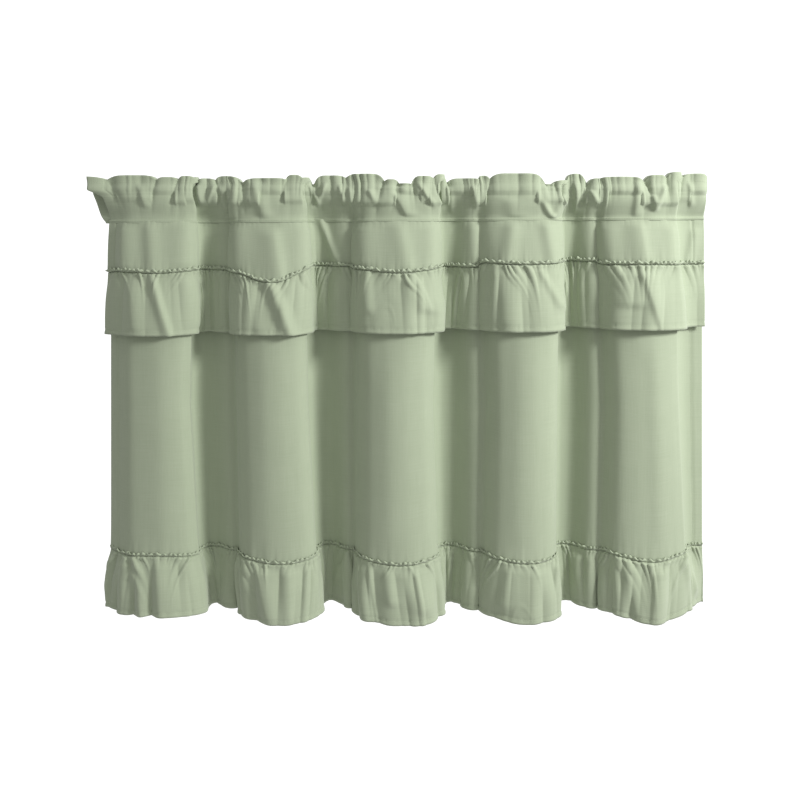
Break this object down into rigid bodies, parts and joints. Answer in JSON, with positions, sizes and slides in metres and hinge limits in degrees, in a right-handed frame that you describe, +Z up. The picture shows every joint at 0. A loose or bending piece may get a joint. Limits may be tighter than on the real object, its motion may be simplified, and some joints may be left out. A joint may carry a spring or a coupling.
{
  "type": "cafe curtain",
  "caption": "Short gathered cafe curtain with a stand-up frill and rod pocket, a ruffled valance over a longer panel, and a ruffled hem, hanging in soft uneven folds.",
  "frame": {"origin": "middle of the rod's axis inside the rod pocket, half way between the curtain's two side hems", "axes": "+X along the rod, to the right as seen from the room; -Y towards the room; +Z up"},
  "size_m": [0.8497, 0.0793, 0.6057],
  "materials": {
    "cloth": "plain-woven brushed polyester in sage green, with a soft low sheen",
    "ruffle_cloth": "the same sage green cloth, gathered, with a narrow rolled edge"
  },
  "bodies": {
    "root": {"heading": "cloth", "panel": "cloth", "valance": "cloth", "valance_ruffle": "ruffle_cloth", "hem_ruffle": "ruffle_cloth"}
  },
  "joints": []
}
